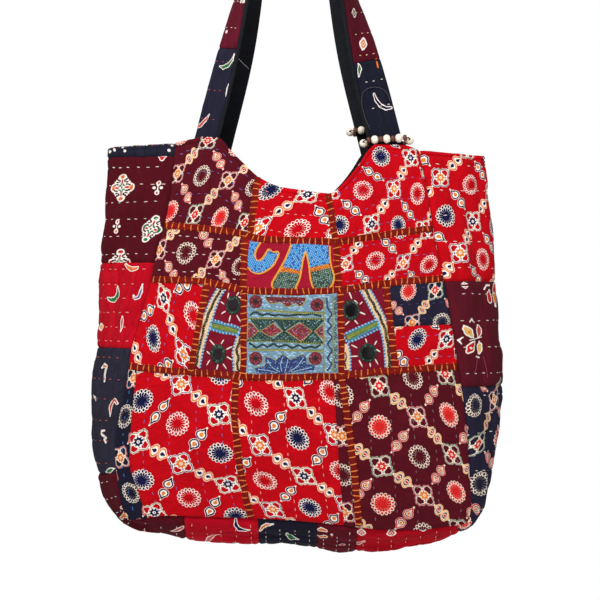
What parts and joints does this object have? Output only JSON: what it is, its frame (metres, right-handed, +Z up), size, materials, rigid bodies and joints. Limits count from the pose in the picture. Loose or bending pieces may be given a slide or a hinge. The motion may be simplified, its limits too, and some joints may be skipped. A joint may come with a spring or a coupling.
{
  "type": "patchwork tote bag",
  "caption": "Soft patchwork shoulder tote with a scooped open mouth, side and bottom gusset, two looped straps and small bead rings at the strap feet.",
  "frame": {"origin": "hanging point: middle of the underside of the two strap arches", "axes": "+Z up, +X to the right as the front is looked at, -Y out of the front panel"},
  "size_m": [0.4223, 0.1316, 0.6835],
  "materials": {
    "red_print_cotton": "matte printed cotton, quilted with running stitch",
    "maroon_print_cotton": "matte printed cotton, quilted with running stitch",
    "navy_print_cotton": "matte printed cotton, quilted with running stitch",
    "crimson_embroidery": "silky embroidered cotton with small mirrors",
    "blue_embroidery": "silky embroidered cotton",
    "black_lining": "smooth black cotton",
    "brown_seam_tape": "woven tape with orange cross stitches",
    "bone_beads": "polished bone or resin",
    "bead_thread_and_spacers": "dark turned wood on a thread"
  },
  "bodies": {
    "root": {"back_bead_1": "bone_beads", "back_bead_2": "bone_beads", "back_bead_3": "bone_beads", "back_bead_4": "bone_beads", "back_bead_5": "bone_beads", "back_bead_6": "bone_beads", "back_bead_7": "bone_beads", "back_bead_8": "bone_beads", "back_bead_thread_spacers": "bead_thread_and_spacers", "back_lower_left": "red_print_cotton", "back_lower_right": "maroon_print_cotton", "back_strap_left_navy": "navy_print_cotton", "back_strap_lining_black": "black_lining", "back_strap_right_navy": "navy_print_cotton", "back_strap_top_maroon": "maroon_print_cotton", "back_upper_left": "maroon_print_cotton", "back_upper_right": "red_print_cotton", "diamond_embroidered": "blue_embroidery", "flank_left_maroon": "maroon_print_cotton", "flank_right_red": "red_print_cotton", "front_bead_1": "bone_beads", "front_bead_2": "bone_beads", "front_bead_3": "bone_beads", "front_bead_4": "bone_beads", "front_bead_5": "bone_beads", "front_bead_6": "bone_beads", "front_bead_7": "bone_beads", "front_bead_8": "bone_beads", "front_bead_thread_spacers": "bead_thread_and_spacers", "front_strap_left_navy": "navy_print_cotton", "front_strap_lining_black": "black_lining", "front_strap_right_navy": "navy_print_cotton", "front_strap_top_maroon": "maroon_print_cotton", "gusset_bottom_maroon": "maroon_print_cotton", "gusset_bottom_navy": "navy_print_cotton", "gusset_bottom_red": "red_print_cotton", "gusset_bottom_right_red": "red_print_cotton", "gusset_corner_maroon": "maroon_print_cotton", "gusset_corner_navy": "navy_print_cotton", "gusset_left_maroon": "maroon_print_cotton", "gusset_left_navy": "navy_print_cotton", "gusset_left_red": "red_print_cotton", "gusset_left_rim_navy": "navy_print_cotton", "gusset_right_maroon": "maroon_print_cotton", "gusset_right_red": "red_print_cotton", "hem_centre_red": "red_print_cotton", "hem_left_navy": "navy_print_cotton", "hem_left_red": "red_print_cotton", "hem_right_maroon": "maroon_print_cotton", "legs_embroidered": "crimson_embroidery", "mirror_left_embroidered": "crimson_embroidery", "mirror_right_embroidered": "crimson_embroidery", "seam_tape": "brown_seam_tape", "waist_left_red": "red_print_cotton", "waist_right_navy": "navy_print_cotton", "waist_right_red": "red_print_cotton", "yoke_centre_red": "red_print_cotton", "yoke_left_maroon": "maroon_print_cotton", "yoke_right_red": "red_print_cotton"}
  },
  "joints": []
}
